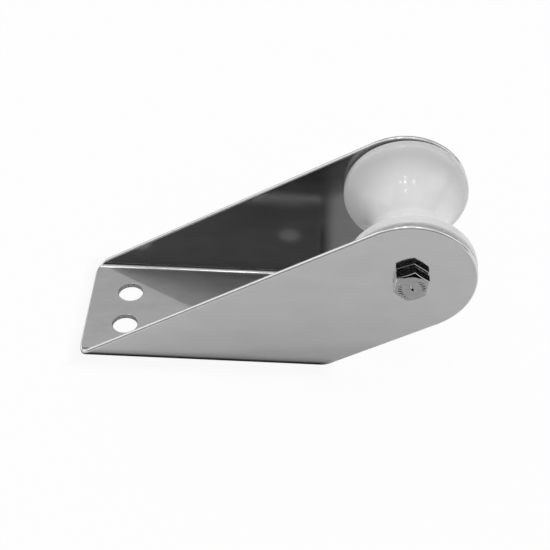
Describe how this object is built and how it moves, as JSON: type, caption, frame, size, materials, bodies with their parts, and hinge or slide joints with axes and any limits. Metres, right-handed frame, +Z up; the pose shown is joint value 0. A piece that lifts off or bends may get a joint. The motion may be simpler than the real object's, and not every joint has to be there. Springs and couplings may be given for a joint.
{
  "type": "bow roller",
  "caption": "Folded stainless channel with sloping cheeks, three deck-bolt holes in its base and a turning nylon hourglass roller on a bolt axle at the nose.",
  "frame": {"origin": "on the underside of the base, midway between the two rear deck-bolt holes", "axes": "+X forward from the rear deck-bolt holes to the roller, +Z up out of the deck; the bolt head is on the -Y side and the nut on the +Y side"},
  "size_m": [0.1968, 0.0964, 0.0974],
  "materials": {
    "mirror_steel": "mirror-polished stainless steel",
    "bolt_steel": "bright cold-formed stainless steel",
    "roller_nylon": "satin-gloss white nylon",
    "insert_nylon": "natural nylon",
    "washer_nylon": "natural nylon sheet"
  },
  "bodies": {
    "mounting": {"bracket": "mirror_steel", "axle_bolt": "bolt_steel", "axle_sleeve": "bolt_steel", "nut_washer": "bolt_steel", "lock_nut": "bolt_steel", "lock_nut_insert": "insert_nylon", "thrust_washer_head_side": "washer_nylon", "thrust_washer_nut_side": "washer_nylon"},
    "roller_wheel": {"roller": "roller_nylon"}
  },
  "joints": [
    {"name": "roller_spin", "type": "hinge", "parent": "mounting", "child": "roller_wheel", "pos_m": [0.1436, 0, 0.0654], "axis": [0, 1, 0], "continuous": true}
  ]
}
